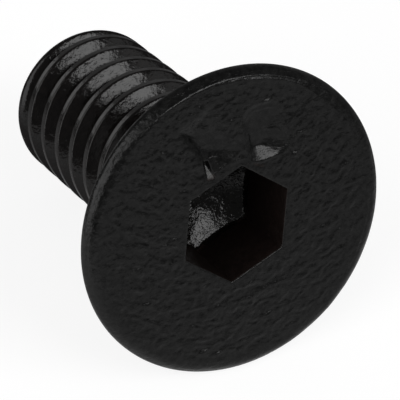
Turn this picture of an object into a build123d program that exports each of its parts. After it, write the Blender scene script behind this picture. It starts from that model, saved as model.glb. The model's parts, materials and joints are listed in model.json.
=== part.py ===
"""Countersunk socket screw, 1/4-20 UNC x 1/2 in, in millimetres.

The screw is one solid. It is shaped about its own axis, with the flush face of
the head at z = 0 and the tip below it. It is then laid on its side as it comes
to rest, on the edge of its head and on the last ring of its thread, with the
head towards -Y and the middle of its base at the origin.
"""

from build123d import *
from math import atan2, degrees, radians, sqrt, tan
import os

os.makedirs("parts", exist_ok=True)

# ---- driving dimensions -------------------------------------------------------

# A countersunk screw is measured over everything, from its flush face to its tip
length = 12.7

# Head: a bevelled edge, then the 82 degree cone of inch countersinks, then the neck
head_diameter = 12.2
face_diameter = 11.6  # to the bevel of the edge
bevel_height = 0.3
head_edge = 0.45  # from the flush face to the start of the cone
face_rounding = 0.3  # flush face into the bevel
countersink_angle = 82.0
neck_length = 0.3
neck_fillet = 0.4  # cone into the neck

# Hexagon socket for a 5/32 in key, with the point of the punch at its foot
key_size = 4.0
socket_depth = 2.9  # to the corners of the hexagon
punch_point_angle = 120.0
socket_turn = 17.8  # degrees, from the X axis to a corner
mouth_chamfer = 0.08

# Coarse right-hand thread, 20 to the inch
major_diameter = 6.2
pitch = 25.4 / 20
flank_angle = 60.0
thread_depth = 0.6134 * pitch
crest_flat = pitch / 5
thread_turn = 0.12 * pitch  # from the tip down to a groove's middle, on the X axis
run_out = 1.2  # length below the neck in which the groove fades
end_ring = 0.25  # length over which the last ridge closes to a full ring at the tip
tip_chamfer = 0.1

# Cutter of the groove: it starts off the tip and ends inside the neck
groove_turns = 8.2
clearance = 0.1  # past the ridges

# ---- sizes that follow --------------------------------------------------------

head_radius = head_diameter / 2
thread_radius = major_diameter / 2
root_radius = thread_radius - thread_depth
cutter_depth = thread_depth + clearance

head_height = head_edge + (head_radius - thread_radius) / tan(radians(countersink_angle / 2))
neck_end = -head_height - neck_length

hexagon_radius = key_size / sqrt(3)
punch_point = hexagon_radius / tan(radians(punch_point_angle / 2))

groove_start = -length - thread_turn - pitch
flank_slope = tan(radians(flank_angle / 2))
root_half = (pitch - crest_flat) / 2 - thread_depth * flank_slope
mouth_half = (pitch - crest_flat) / 2 + clearance * flank_slope
ring_foot = -length + end_ring + cutter_depth * flank_slope

# Underneath, the end ring runs up to the tip chamfer and the screw lies on it
foot_depth = length - tip_chamfer
lean = degrees(atan2(head_radius - thread_radius, foot_depth - head_edge))

# ---- thread groove ------------------------------------------------------------

with BuildLine() as helix:
    Helix(pitch, groove_turns * pitch, root_radius, center=(0, 0, groove_start))

with BuildSketch(Plane(origin=helix.line @ 0, x_dir=(1, 0, 0), z_dir=helix.line % 0)) as section:
    with BuildLine():
        Polyline(
            (0, -root_half),
            (cutter_depth, -mouth_half),
            (cutter_depth, mouth_half),
            (0, root_half),
            close=True,
        )
    make_face()

with BuildPart() as groove:
    sweep(section.sketch, path=helix.line, is_frenet=True)

with BuildPart() as shank:
    with BuildSketch(Plane.XY.offset(-length)):
        Circle(thread_radius)
    extrude(amount=length - head_height / 2)
    add(groove.part, mode=Mode.SUBTRACT)
    with BuildSketch(Plane.XZ):
        with BuildLine():
            Polyline(
                (0, -length),
                (thread_radius, -length),
                (thread_radius, -length + end_ring),
                (root_radius - clearance, ring_foot),
                (0, ring_foot),
                close=True,
            )
        make_face()
    revolve(axis=Axis.Z)
    chamfer(shank.faces().sort_by(Axis.Z)[0].edges(), tip_chamfer)

# ---- hexagon socket -----------------------------------------------------------

with BuildPart() as socket:
    with BuildSketch(Plane.XY):
        RegularPolygon(hexagon_radius, 6, rotation=socket_turn)
    extrude(amount=-(socket_depth + punch_point))
    with BuildSketch(Plane.XZ):
        with BuildLine():
            Polyline(
                (0, 0),
                (hexagon_radius, 0),
                (hexagon_radius, -socket_depth),
                (0, -socket_depth - punch_point),
                close=True,
            )
        make_face()
    revolve(axis=Axis.Z, mode=Mode.INTERSECT)

# ---- screw --------------------------------------------------------------------

# Under the neck a cone widens the core of the shank until the groove has faded
with BuildPart() as screw:
    with BuildSketch(Plane.XZ):
        with BuildLine():
            Polyline(
                (0, 0),
                (face_diameter / 2, 0),
                (head_radius, -bevel_height),
                (head_radius, -head_edge),
                (thread_radius, -head_height),
                (thread_radius, neck_end),
                (root_radius - clearance, neck_end - run_out),
                (0, neck_end - run_out),
                close=True,
            )
        make_face()
    revolve(axis=Axis.Z)
    rims = screw.edges().filter_by(GeomType.CIRCLE).sort_by(Axis.Z)
    fillet(rims[-1], face_rounding)
    fillet(rims[2], neck_fillet)

    add(shank.part)

    add(socket.part, mode=Mode.SUBTRACT)
    mouth = screw.faces().sort_by(Axis.Z)[-1].inner_wires()[0]
    chamfer(mouth.edges(), mouth_chamfer)

# ---- rest ---------------------------------------------------------------------

laid = Rot(90 - lean, 0, 0) * screw.part
base = laid.bounding_box()
laid = Pos(-base.center().X, -base.center().Y, -base.min.Z) * laid
laid.label = "screw"
export_step(laid, "parts/screw.step")
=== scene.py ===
"""Looks of the countersunk socket screw.

The CAD screw is one blackened steel piece. Here it is replaced by a finer mesh of
the same forms, with what the CAD solid leaves out: worn edges, rounded thread ridges,
the two dents in the face and the wrinkled black coating.
"""

import json
import math

import bmesh
import bpy
import numpy as np
from mathutils import Matrix, Vector, noise


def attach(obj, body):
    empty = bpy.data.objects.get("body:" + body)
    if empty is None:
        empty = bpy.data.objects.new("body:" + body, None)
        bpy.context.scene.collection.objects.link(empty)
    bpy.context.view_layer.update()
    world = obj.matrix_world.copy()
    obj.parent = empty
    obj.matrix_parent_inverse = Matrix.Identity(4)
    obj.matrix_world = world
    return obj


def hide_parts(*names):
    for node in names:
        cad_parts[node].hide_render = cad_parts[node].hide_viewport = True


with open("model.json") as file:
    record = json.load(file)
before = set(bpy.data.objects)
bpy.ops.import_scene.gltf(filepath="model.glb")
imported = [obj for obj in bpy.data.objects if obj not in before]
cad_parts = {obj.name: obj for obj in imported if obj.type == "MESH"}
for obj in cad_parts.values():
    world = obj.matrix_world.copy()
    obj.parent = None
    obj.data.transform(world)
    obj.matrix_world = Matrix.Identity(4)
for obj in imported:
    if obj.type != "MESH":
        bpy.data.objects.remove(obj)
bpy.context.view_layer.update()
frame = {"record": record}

MM = 0.001

# ---- dimensions of the CAD solid, in millimetres -----------------------------------

LENGTH = 12.7
HEAD_RADIUS = 6.1
FACE_RADIUS = 5.8  # to the bevel
BEVEL_HEIGHT = 0.3
HEAD_EDGE = 0.45  # from the flush face to the start of the cone
COUNTERSINK = math.radians(82)
NECK_LENGTH = 0.3
NECK_FILLET = 0.4
THREAD_RADIUS = 3.1
PITCH = 1.27
THREAD_DEPTH = 0.6134 * PITCH
FLANK_SLOPE = math.tan(math.radians(30))
GROOVE_DEPTH_AT_X = LENGTH + 0.12 * PITCH + PITCH  # a groove's middle, on the X axis
RUN_OUT = 1.2  # below the neck, where the groove fades
TIP_CHAMFER = 0.1
KEY_SIZE = 4.0
SOCKET_DEPTH = 2.9
SOCKET_TURN = math.radians(17.8)
PUNCH_POINT = math.radians(60)  # half of the angle of the punch's point

HEAD_HEIGHT = round(HEAD_EDGE + (HEAD_RADIUS - THREAD_RADIUS) / math.tan(COUNTERSINK / 2), 3)
NECK_END = HEAD_HEIGHT + NECK_LENGTH
SOCKET_CORNER = KEY_SIZE / 2 / math.cos(math.pi / 6)

# ---- worn edges, which differ a little from the CAD solid ----------------------------

FACE_ROUNDING = 0.12, 0.5  # at the top of the rim, where it is crisp, and elsewhere
BEVEL_ROUNDING = 0.3
MOUTH = 0.05  # rounding of the socket's mouth
CREST_FLAT = PITCH / 4.5
CREST_ROUNDING = 0.05
ROOT_ROUNDING = 0.1
END_RING = 0.14  # length over which the last ridge closes to a full ring
TIP_TAPER = 0.26  # radius lost per length along the tip's chamfer, nearly worn away

# ---- mesh density ----------------------------------------------------------------

FINE = 576  # columns round the face
COARSE = 192  # columns round the socket, the cone and the thread
FACE_RINGS = 84
EDGE_RINGS = 8
CONE_RINGS = 22
WALL_RINGS = 14
POINT_RINGS = 18
THREAD_TURNS = 8.6


# The screw's own axes: Z out of the flush face, Y up as it lies, X across
socket_mount = next(m for m in frame["record"]["mounts"] if m["name"] == "hexagon_socket")
face_normal = Vector(socket_mount["axis"]).normalized()
across = Vector((1, 0, 0))
screw_axes = Matrix((across, face_normal.cross(across), face_normal)).transposed().to_4x4()
to_row = Matrix.Translation(socket_mount["pos_m"]) @ screw_axes @ Matrix.Scale(MM, 4)


def smooth_min(a, b, k):
    h = np.clip(0.5 + 0.5 * (b - a) / k, 0, 1)
    return b + (a - b) * h - k * h * (1 - h)


def smooth_max(a, b, k):
    return -smooth_min(-a, -b, k)


def smooth_step(low, high, x):
    t = np.clip((x - low) / (high - low), 0, 1)
    return t * t * (3 - 2 * t)


# ---- wrinkles of the coating -------------------------------------------------------


def noise_at(x, y, z):
    return np.array([noise.noise(Vector(p)) for p in zip(x, y, z)])


def wrinkles(x, y):
    """Height of the drawn-out wrinkles of the coating on the flush face, from -1 to 1."""
    lean = np.radians(4 + 4 * x)
    along = x * np.cos(lean) + y * np.sin(lean)
    over = y * np.cos(lean) - x * np.sin(lean)
    over = over + 0.16 * noise_at(x / 0.42, y / 0.35, 0 * x + 3)
    along = along + 0.12 * noise_at(x / 0.3, y / 0.3, 0 * x + 7)
    broad = noise_at(along / 0.62, over / 0.38, 0 * x + 11)
    mid = noise_at(along / 0.27, over / 0.17, 0 * x + 17)
    small = noise_at(along / 0.15, over / 0.11, 0 * x + 23)
    return 0.8 * broad + 0.6 * mid + 0.25 * small


def ripple(x, y):
    """Unevenness of the rim of the head, as a depth."""
    return 0.006 * noise_at(x / 0.16, y / 0.16, 0 * x + 5) + 0.016 * noise_at(x / 0.9, y / 0.9, 0 * x)


def soft_ramp(inside, slope, soft):
    """Depth of a wall that starts, with a rounded brink, where inside is zero."""
    return slope * (inside + np.sqrt(inside * inside + soft * soft)) / 2


def ramp(x, y, brink, toward, slope, soft):
    """Depth of a wall that starts at brink and sinks in the direction toward."""
    dx, dy = toward
    inside = ((x - brink[0]) * dx + (y - brink[1]) * dy) / math.hypot(dx, dy)
    return soft_ramp(inside, slope, soft)


def dents(x, y):
    """Depth of the two punched marks in the flush face."""
    # left mark: a steep wall on its lower left, from which the floor climbs to the right
    heights = (2.0, 2.5, 2.8, 3.1, 3.6, 4.15, 4.7)
    brink = np.interp(y, heights, (-0.95, -1.02, -1.02, -1.15, -1.42, -1.68, -1.8))
    inside = 0.89 * (x - brink)
    bottom = 0.34 + 0.12 * np.maximum(3.3 - y, 0) - 0.24 * inside
    left = smooth_min(soft_ramp(inside, 0.85, 0.12), bottom, 0.05)
    left = smooth_min(left, ramp(x, y, (-1.0, 4.76), (0.35, -1), 0.46, 0.1), 0.03)
    left = smooth_min(left, ramp(x, y, (-0.3, 2.38), (-0.5, 1), 0.22, 0.15), 0.06)
    lumps = 0.05 * noise_at(x / 0.3, y / 0.24, 0 * x + 31)
    left += lumps * smooth_step(3.6, 4.0, y) * smooth_step(0, 0.1, left)
    # and a gouge that runs out of its foot towards the socket
    gouge = ramp(x, y, (-0.80, 2.14), (0.08, 1), 0.60, 0.08)
    gouge = smooth_min(gouge, 0.34 - 2.4 * np.maximum(np.abs(x + 0.80 + 0.1 * (y - 2.2)) - 0.03, 0), 0.04)
    gouge = smooth_min(gouge, ramp(x, y, (-0.9, 3.05), (0.1, -1), 0.9, 0.05), 0.04)
    # right mark: a rounded square, struck deeper at its foot
    across, up = x - 1.58 + 0.06 * (y - 3.4), y - 3.36
    corner = 0.45 + 0.2 * smooth_step(-0.3, 0.6, up)
    side, end = np.abs(across) - (0.83 - corner), np.abs(up) - (1.07 - corner)
    within = corner - np.hypot(np.maximum(side, 0), np.maximum(end, 0)) - np.minimum(np.maximum(side, end), 0)
    reach = np.hypot(across, up) + 1e-6
    slope = 0.42 + 0.22 * smooth_step(0.1, 0.85, -up / reach) + 0.30 * smooth_step(0.5, 0.95, -across / reach)
    slope += 0.16 * smooth_step(0.2, 0.9, up / reach)
    slope -= smooth_step(0.0, 0.45, across / reach) * (0.10 + 0.14 * smooth_step(0, 0.5, -up / reach))
    floor = 0.10 + 0.12 * (4.1 - y) + 0.05 * (1.7 - x)
    right = smooth_min(soft_ramp(within, slope, 0.18), floor, 0.06)
    right = smooth_min(right, ramp(x, y, (2.62, 2.5), (-0.8, 0.6), 0.25, 0.1), 0.05)
    second_edge = smooth_step(0, 0.5, (up - across) / reach)
    right -= 0.020 * second_edge * np.exp(-(((within - 0.2) / 0.045) ** 2))
    lip = 0.020 * np.exp(-(((within + 0.08) / 0.06) ** 2))
    depth = smooth_max(smooth_max(left, gouge, 0.02), right - lip, 0.01)
    return depth - 0.004


# ---- profile of the thread ---------------------------------------------------------


def thread_radius(off_crest, depth):
    """Radius of the threaded shank, off_crest along the axis from a ridge's middle."""
    flank = THREAD_RADIUS - (np.abs(off_crest) - CREST_FLAT / 2) / FLANK_SLOPE
    root = THREAD_RADIUS - THREAD_DEPTH
    core = root + THREAD_DEPTH * (NECK_END + RUN_OUT - depth) / RUN_OUT
    end_flank = THREAD_RADIUS - (LENGTH - END_RING - depth) / FLANK_SLOPE
    end_ring = smooth_min(end_flank, THREAD_RADIUS + 0 * depth, CREST_ROUNDING)
    ridge = smooth_min(np.full_like(flank, THREAD_RADIUS), flank, CREST_ROUNDING)
    radius = smooth_max(smooth_max(ridge, np.full_like(flank, root), ROOT_ROUNDING), core, ROOT_ROUNDING)
    radius = smooth_max(radius, end_ring, 0.03)
    tip = THREAD_RADIUS - TIP_TAPER * (depth - (LENGTH - TIP_CHAMFER))
    return np.minimum(radius, np.minimum(tip, THREAD_RADIUS))


# ---- mesh of the screw -------------------------------------------------------------


class Skin:
    """Vertices and faces of the screw, gathered ring by ring, in its own millimetres."""

    def __init__(self):
        self.points = []
        self.faces = []

    def ring(self, radius, depth, turn):
        start = len(self.points)
        radius, depth = np.broadcast_to(radius, turn.shape), np.broadcast_to(depth, turn.shape)
        self.points += [
            (r * math.cos(a), r * math.sin(a), -d) for r, d, a in zip(radius, depth, turn)
        ]
        return list(range(start, start + len(turn)))

    def join(self, outer, inner):
        """Faces between two closed rings; inner may have a third of outer's vertices."""
        n, m = len(outer), len(inner)
        for j in range(m):
            k = (j + 1) % m
            if n == m:
                self.faces.append((outer[j], outer[k], inner[k], inner[j]))
            else:
                a, b, c, d = (outer[(3 * j + i) % n] for i in range(4))
                self.faces.append((a, b, inner[j]))
                self.faces.append((b, c, inner[k], inner[j]))
                self.faces.append((c, d, inner[k]))


def turns(count):
    return SOCKET_TURN + np.arange(count) * 2 * math.pi / count


def hexagon(turn, apothem):
    """Radius of the hexagon at each turn."""
    side = (turn - SOCKET_TURN) % (math.pi / 3) - math.pi / 6
    return apothem / np.cos(side)


def build_head(skin):
    fine, coarse = turns(FINE), turns(COARSE)
    bevel = math.atan2(BEVEL_HEIGHT, HEAD_RADIUS - FACE_RADIUS)
    from_top = np.abs((fine - math.pi / 2 + math.pi) % (2 * math.pi) - math.pi)
    crisp, worn = FACE_ROUNDING
    rounding = crisp + (worn - crisp) * smooth_step(0.5, 0.85, from_top)
    flat_edge = FACE_RADIUS - rounding * math.tan(bevel / 2)
    rings = []

    # socket, from its blunt and lumpy bottom up to its mouth
    wall = hexagon(coarse, KEY_SIZE / 2)
    foot = SOCKET_DEPTH + (SOCKET_CORNER - wall) / math.tan(PUNCH_POINT)
    for i in range(POINT_RINGS):
        part = 0.02 + 0.98 * i / POINT_RINGS
        radius = wall * part
        x, y = radius * np.cos(coarse), radius * np.sin(coarse)
        lumps = 0.035 * (1 - part**4) * noise_at(x / 0.5, y / 0.5, 0 * x + 2)
        blunt = 0.5 * np.exp(-((radius / 0.85) ** 2))
        depth = foot + (wall - radius - blunt) / math.tan(PUNCH_POINT)
        rings.append(skin.ring(radius, depth + lumps, coarse))
    for i in range(WALL_RINGS):
        part = i / WALL_RINGS
        rings.append(skin.ring(wall, foot * (1 - part) + MOUTH * part, coarse))
    for part in (0, 0.5, 1):
        lift = MOUTH * (1 - math.cos(part * math.pi / 2))
        drop = MOUTH * (1 - math.sin(part * math.pi / 2))
        rings.append(skin.ring(hexagon(coarse, KEY_SIZE / 2 + lift), drop, coarse))
    point = rings[0]

    # flush face, with its wrinkles and dents
    mouth = hexagon(fine, KEY_SIZE / 2 + MOUTH + 0.05)
    for i in range(FACE_RINGS):
        part = i / FACE_RINGS
        radius = mouth + (flat_edge - mouth) * part
        x, y = radius * np.cos(fine), radius * np.sin(fine)
        hollow = dents(x, y)
        calm = (0.3 + 0.7 * smooth_step(0, 0.12, part)) * (0.15 + 0.85 * smooth_step(0.06, 0, hollow))
        edge = smooth_step(0.85, 1, part)
        relief = hollow - 0.042 * calm * (1 - 0.8 * edge) * wrinkles(x, y) + edge * ripple(x, y)
        rings.append(skin.ring(radius, relief, fine))

    # edge of the face, bevel and edge of the head
    profile = [
        (flat_edge + rounding * math.sin(t), rounding * (1 - math.cos(t)))
        for t in np.linspace(0, bevel, EDGE_RINGS)
    ]
    last = profile[-1]
    wall_start = BEVEL_HEIGHT + BEVEL_ROUNDING * math.tan((math.pi / 2 - bevel) / 2)
    corner_arc = [
        (HEAD_RADIUS - BEVEL_ROUNDING * (1 - math.sin(t)), wall_start - BEVEL_ROUNDING * math.cos(t))
        for t in np.linspace(bevel, math.pi / 2, 6)
    ]
    for part in (1 / 3, 2 / 3):
        profile.append([a + (b - a) * part for a, b in zip(last, corner_arc[0])])
    for radius, depth in profile + corner_arc:
        x, y = radius * np.cos(fine), radius * np.sin(fine)
        uneven = ripple(x, y) * smooth_step(HEAD_RADIUS, HEAD_RADIUS - 0.15, radius)
        rings.append(skin.ring(radius - uneven, depth + uneven, fine))

    # cone and neck
    slope = math.atan2(HEAD_RADIUS - THREAD_RADIUS, HEAD_HEIGHT - HEAD_EDGE)
    rings.append(skin.ring(HEAD_RADIUS - 0.012, HEAD_EDGE, coarse))
    rings.append(skin.ring(HEAD_RADIUS - 0.05, HEAD_EDGE + 0.05, coarse))
    tangent = NECK_FILLET * math.tan(slope / 2)
    start = np.array((HEAD_EDGE + 0.05, HEAD_RADIUS - 0.05))
    end = np.array((HEAD_HEIGHT - tangent * math.cos(slope), THREAD_RADIUS + tangent * math.sin(slope)))
    for i in range(1, CONE_RINGS + 1):
        depth, radius = start + (end - start) * i / CONE_RINGS
        rings.append(skin.ring(radius, depth, coarse))
    for i in range(1, 5):
        turn = slope * (1 - i / 4)
        radius = THREAD_RADIUS + NECK_FILLET * (1 - math.cos(turn))
        depth = HEAD_HEIGHT + tangent - NECK_FILLET * math.sin(turn)
        rings.append(skin.ring(radius, depth, coarse))

    for a, b in zip(rings, rings[1:]):
        if len(b) < len(a):
            skin.join(a, b)
        else:
            skin.join(b, a)
    skin.faces.append(tuple(point))


# Rows of vertices over one pitch: close together on the roundings of ridge and root
OFF_CREST = np.array([0, 0.095, 0.12, 0.14, 0.16, 0.185, 0.29, 0.41, 0.51, 0.56, 0.6])
ROWS = np.concatenate((OFF_CREST, [PITCH / 2], PITCH - OFF_CREST[:0:-1]))


def build_thread(skin):
    """Spiral rows of vertices that follow the ridges; they overrun the neck and the tip."""
    turn = turns(COARSE)
    per_turn = len(ROWS)
    crest = GROOVE_DEPTH_AT_X - PITCH / 2 + PITCH
    rows = int(THREAD_TURNS * per_turn) + per_turn
    start = len(skin.points)
    for k in range(rows):
        whole, part = divmod(k, per_turn)
        row_depth = crest - (whole * PITCH + ROWS[part])
        depth = row_depth - PITCH * turn / (2 * math.pi)
        off = (ROWS[part] + PITCH / 2) % PITCH - PITCH / 2
        skin.ring(thread_radius(np.full_like(depth, off), depth), depth, turn)
    for k in range(rows - 1):
        for i in range(COARSE):
            a, b = start + k * COARSE + i, start + (k + 1) * COARSE + i
            if i < COARSE - 1:
                skin.faces.append((a, a + 1, b + 1, b))
            elif k + 1 + per_turn < rows:
                c = start + (k + per_turn) * COARSE
                skin.faces.append((a, c, c + COARSE, b))


def order_loop(edges):
    """The vertices of one closed loop of edges, in order."""
    following = {}
    for e in edges:
        for v in e.verts:
            following.setdefault(v, []).append(e.other_vert(v))
    first = edges[0].verts[0]
    loop, last, here = [first], None, first
    while True:
        step = [v for v in following[here] if v is not last]
        last, here = here, step[0]
        if here is first:
            return loop
        loop.append(here)


def build_screw():
    head, shank = Skin(), Skin()
    build_head(head)
    build_thread(shank)
    bm = bmesh.new()
    for skin in (shank, head):
        made = [bm.verts.new(p) for p in skin.points]
        bm.verts.ensure_lookup_table()
        for f in skin.faces:
            bm.faces.new([made[i] for i in f])
        if skin is shank:
            for depth, outward in ((LENGTH, -1), (NECK_END, 1)):
                bmesh.ops.bisect_plane(
                    bm,
                    geom=bm.verts[:] + bm.edges[:] + bm.faces[:],
                    plane_co=(0, 0, -depth),
                    plane_no=(0, 0, outward),
                    clear_outer=True,
                    dist=1e-5,
                )
            # the end of the tip: rings that close in on the axis
            rim = [e for e in bm.edges if e.is_boundary and all(abs(v.co.z + LENGTH) < 1e-3 for v in e.verts)]
            loop = order_loop(rim)
            for e in rim:
                e.smooth = False
            outer = loop
            for part in (0.96, 0.85, 0.65, 0.45, 0.25, 0.08):
                inner = [bm.verts.new((v.co.x * part, v.co.y * part, v.co.z)) for v in loop]
                for j in range(len(loop)):
                    k = (j + 1) % len(loop)
                    bm.faces.new((outer[j], outer[k], inner[k], inner[j]))
                outer = inner
            bm.faces.new(outer)
    open_edges = [e for e in bm.edges if e.is_boundary]
    bmesh.ops.bridge_loops(bm, edges=open_edges)
    bmesh.ops.recalc_face_normals(bm, faces=bm.faces[:])
    mesh = bpy.data.meshes.new("screw_skin")
    bm.to_mesh(mesh)
    bm.free()
    return mesh


mesh = build_screw()
FACE_SLOT, THREAD_SLOT, SOCKET_SLOT, WALL_SLOT = range(4)
# The face's coating reaches part way down the cone; the thread's covers the rest outside
for polygon in mesh.polygons:
    x, y, z = polygon.center
    reach = math.hypot(x, y)
    if z < -HEAD_EDGE and reach > 2.2 and z < -HEAD_EDGE - 0.9 * (HEAD_RADIUS - reach) - 0.3:
        polygon.material_index = THREAD_SLOT
    elif z < -0.02 and reach < SOCKET_CORNER + 0.1:
        polygon.material_index = THREAD_SLOT if z < -5 else SOCKET_SLOT if z < -SOCKET_DEPTH else WALL_SLOT
    polygon.use_smooth = True
mesh.transform(to_row)
screw = bpy.data.objects.new("screw_skin", mesh)
bpy.context.collection.objects.link(screw)


# ---- coating -----------------------------------------------------------------------


class Graph:
    """Small helper to wire the nodes of one material."""

    def __init__(self, name):
        self.material = bpy.data.materials.new(name)
        self.material.use_nodes = True
        self.nodes = self.material.node_tree.nodes
        self.links = self.material.node_tree.links
        self.shader = self.nodes["Principled BSDF"]

    def add(self, kind, **settings):
        node = self.nodes.new(kind)
        for name, value in settings.items():
            setattr(node, name, value)
        return node

    def link(self, source, target):
        self.links.new(source, target)

    def place(self, scale, stretch=(1, 1, 1)):
        """Coordinates in millimetres along the screw's own axes."""
        coordinates = self.add("ShaderNodeTexCoord")
        mapping = self.add("ShaderNodeMapping")
        mapping.inputs["Rotation"].default_value = screw_axes.inverted().to_euler()
        self.link(coordinates.outputs["Object"], mapping.inputs["Vector"])
        stretched = self.add("ShaderNodeMapping")
        stretched.inputs["Scale"].default_value = [scale * s / MM for s in stretch]
        self.link(mapping.outputs["Vector"], stretched.inputs["Vector"])
        return stretched.outputs["Vector"]

    def noise(self, scale, detail=3, roughness=0.55, distortion=0.0, stretch=(1, 1, 1)):
        node = self.add("ShaderNodeTexNoise")
        node.inputs["Scale"].default_value = 1
        node.inputs["Detail"].default_value = detail
        node.inputs["Roughness"].default_value = roughness
        node.inputs["Distortion"].default_value = distortion
        self.link(self.place(scale, stretch), node.inputs["Vector"])
        return node.outputs["Fac"]

    def spread(self, source, low, high, start=0.35, stop=0.65):
        node = self.add("ShaderNodeMapRange", clamp=True)
        node.inputs["From Min"].default_value = start
        node.inputs["From Max"].default_value = stop
        node.inputs["To Min"].default_value = low
        node.inputs["To Max"].default_value = high
        self.link(source, node.inputs["Value"])
        return node.outputs["Result"]

    def tone(self, source, dark, pale, start=0.3, stop=0.7):
        node = self.add("ShaderNodeValToRGB")
        node.color_ramp.elements[0].position = start
        node.color_ramp.elements[0].color = (*dark, 1)
        node.color_ramp.elements[1].position = stop
        node.color_ramp.elements[1].color = (*pale, 1)
        self.link(source, node.inputs["Fac"])
        return node.outputs["Color"]

    def bump(self, source, depth_mm, under=None):
        node = self.add("ShaderNodeBump")
        node.inputs["Strength"].default_value = 1
        node.inputs["Distance"].default_value = depth_mm * MM
        self.link(source, node.inputs["Height"])
        if under:
            self.link(under, node.inputs["Normal"])
        return node.outputs["Normal"]


def coating(name, dark, pale, rough, relief, scale, squeeze=1):
    """Thick black oxide: near black, with a relief of wrinkles and a varying sheen."""
    graph = Graph(name)
    shader = graph.shader
    stretch = (squeeze, 1, 1)
    cloud = graph.noise(4.5, detail=4, roughness=0.6)
    graph.link(graph.tone(cloud, dark, pale, 0.38, 0.62), shader.inputs["Base Color"])
    mottle = graph.noise(5, detail=4, roughness=0.6)
    graph.link(graph.spread(mottle, *rough), shader.inputs["Roughness"])
    fine = graph.bump(graph.noise(14, detail=2, roughness=0.6, stretch=stretch), relief * 0.15)
    lumps = graph.noise(scale, detail=3, roughness=0.6, distortion=0.4, stretch=stretch)
    graph.link(graph.bump(lumps, relief, fine), shader.inputs["Normal"])
    shader.inputs["Specular IOR Level"].default_value = 0.3
    return graph.material


for material in (
    coating("coating_face", (0.001, 0.001, 0.001), (0.007, 0.007, 0.0068), (0.19, 0.28), 0.030, 4.5, 0.8),
    coating("coating_thread", (0.003, 0.0023, 0.0022), (0.006, 0.0048, 0.0045), (0.07, 0.13), 0.020, 3.5),
    coating("coating_socket", (0.003, 0.0026, 0.0022), (0.005, 0.0043, 0.0036), (0.06, 0.12), 0.05, 3.0),
    # socket walls: a warmer tone, and a base colour about twice that of the other coatings, which is painted
    # light on the shaded walls
    coating("coating_wall_painted_light", (0.007, 0.0045, 0.0038), (0.011, 0.007, 0.006), (0.3, 0.45), 0.010, 3.0),
):
    screw.data.materials.append(material)

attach(screw, "root")
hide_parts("screw")

# ---- camera ------------------------------------------------------------------------

CAMERA_FROM_FACE = Vector((-0.037452, -0.066909, 0.067616))
CAMERA_DOWN, CAMERA_BEARING = math.radians(40.908), math.radians(-28.226)

face_centre = Vector(socket_mount["pos_m"])
camera_data = bpy.data.cameras.new("camera")
camera_data.lens = 252
camera_data.sensor_width = 36
camera_data.clip_start = 0.001
camera_data.clip_end = 10
camera = bpy.data.objects.new("camera", camera_data)
bpy.context.collection.objects.link(camera)
camera.location = face_centre + CAMERA_FROM_FACE
camera.rotation_euler = (math.pi / 2 - CAMERA_DOWN, 0, CAMERA_BEARING)
bpy.context.scene.camera = camera

# ---- floor -------------------------------------------------------------------------

floor_mesh = bpy.data.meshes.new("floor")
FLOOR_HALF = 2
corners = [(x * FLOOR_HALF, y * FLOOR_HALF, 0) for x, y in ((-1, -1), (1, -1), (1, 1), (-1, 1))]
floor_mesh.from_pydata(corners, [], [(0, 1, 2, 3)])
floor = bpy.data.objects.new("floor", floor_mesh)
bpy.context.collection.objects.link(floor)

# White paper: the camera sees it nearly white, with the screw's shadow. In the screw's reflections
# the paper is only a glow, with painted pools of light on it and no shadow
paper = Graph("paper")
paper.shader.inputs["Base Color"].default_value = (0.95, 0.95, 0.95, 1)
paper.shader.inputs["Roughness"].default_value = 1
paper.shader.inputs["Specular IOR Level"].default_value = 0
place = paper.add("ShaderNodeTexCoord")


def pool(centre, inner, outer, strength):
    """Painted pool of light on the paper round a centre, in metres from the middle of the floor; a glow that
    only reflections see.
    """
    away = paper.add("ShaderNodeVectorMath", operation="DISTANCE")
    away.inputs[1].default_value = (*centre, 0)
    paper.link(place.outputs["Object"], away.inputs[0])
    return paper.spread(away.outputs["Value"], strength, 0, inner, outer)


def combine(operation, first, second):
    node = paper.add("ShaderNodeMath", operation=operation)
    paper.link(first, node.inputs[0])
    if isinstance(second, float):
        node.inputs[1].default_value = second
    else:
        paper.link(second, node.inputs[1])
    return node.outputs["Value"]


rays = paper.add("ShaderNodeLightPath")
seen, mirrored = rays.outputs["Is Camera Ray"], rays.outputs["Is Glossy Ray"]
# painted pools of light: glows in the paper that only the screw's reflections see, which no lamp casts
painted_glow = pool((0.006, -0.046), 0.026, 0.050, 0.27)  # in front, wide
for centre, inner, outer, strength in (
    ((-0.050, -0.004), 0.022, 0.050, 0.9),  # on the left
    ((0.002, -0.008), 0.002, 0.015, 0.24),  # at the foot of the face
    ((0.014, -0.050), 0.005, 0.030, 0.25),  # in front, on the right
    ((-0.012, -0.042), 0.004, 0.020, 0.55),  # in front, on the left
):
    painted_glow = combine("ADD", painted_glow, pool(centre, inner, outer, strength))
EVERYWHERE = 0.12
SEEN_GLOW, SEEN_SHARE = 1.2, 0.7  # what the camera sees: its glow, and how far it hides the shadow
painted_glow = combine("ADD", painted_glow, EVERYWHERE)
glow = paper.add("ShaderNodeEmission")
paper.link(combine("MAXIMUM", combine("MULTIPLY", seen, SEEN_GLOW), painted_glow), glow.inputs["Strength"])
share = combine("ADD", combine("MULTIPLY", seen, SEEN_SHARE), mirrored)
mixed = paper.add("ShaderNodeMixShader")
paper.link(share, mixed.inputs["Fac"])
paper.link(paper.shader.outputs["BSDF"], mixed.inputs[1])
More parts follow.
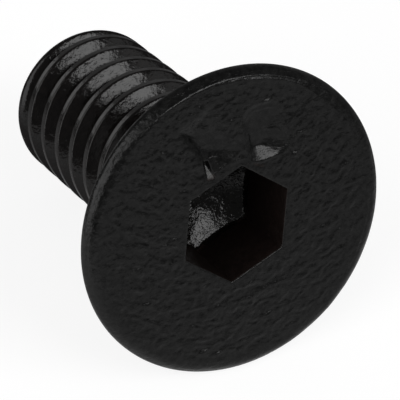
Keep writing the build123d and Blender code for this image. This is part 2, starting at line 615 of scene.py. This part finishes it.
paper.link(glow.outputs["Emission"], mixed.inputs[2])
paper.link(mixed.outputs["Shader"], paper.nodes["Material Output"].inputs["Surface"])
floor.data.materials.append(paper.material)

# ---- lamps -------------------------------------------------------------------------


def softbox(name, bearing, height, distance, width, tall, radiance):
    """A lamp seen from the screw on a bearing from +Y towards +X and at a height, in degrees."""
    bearing, height = math.radians(bearing), math.radians(height)
    direction = Vector(
        (math.sin(bearing) * math.cos(height), math.cos(bearing) * math.cos(height), math.sin(height))
    )
    data = bpy.data.lights.new(name, "AREA")
    data.shape = "RECTANGLE"
    data.size = width
    data.size_y = tall
    data.energy = radiance * math.pi * width * tall
    lamp = bpy.data.objects.new(name, data)
    bpy.context.collection.objects.link(lamp)
    lamp.location = direction * distance + Vector((0, 0, 0.006))  # from the middle of the screw
    lamp.rotation_euler = direction.to_track_quat("Z", "Y").to_euler()


softbox("key_box", 157, 38, 0.5, 0.32, 0.2, 4.6)
softbox("left_box", -108, 29, 0.5, 0.38, 0.54, 1.8)
softbox("back_box", -24, 10, 0.5, 0.26, 0.19, 0.95)
softbox("right_box", 124, 21, 0.5, 0.16, 0.2, 0.6)

# The rest of the room is dim
world = bpy.data.worlds.new("studio")
bpy.context.scene.world = world
world.use_nodes = True
sky = world.node_tree.nodes
direction = sky.new("ShaderNodeTexCoord")
behind = sky.new("ShaderNodeVectorMath")
behind.operation = "DOT_PRODUCT"
behind.inputs[1].default_value = (0.4, 0.9, 0)
level = sky.new("ShaderNodeMapRange")
level.interpolation_type = "SMOOTHSTEP"
level.inputs["From Min"].default_value = 0.2
level.inputs["From Max"].default_value = 0.9
level.inputs["To Min"].default_value = 0.14
level.inputs["To Max"].default_value = 0.3
world.node_tree.links.new(direction.outputs["Generated"], behind.inputs[0])
world.node_tree.links.new(behind.outputs["Value"], level.inputs["Value"])
world.node_tree.links.new(level.outputs["Result"], sky["Background"].inputs["Strength"])
sky["Background"].inputs["Color"].default_value = (1, 1, 1, 1)

bpy.context.scene.view_settings.view_transform = "Standard"
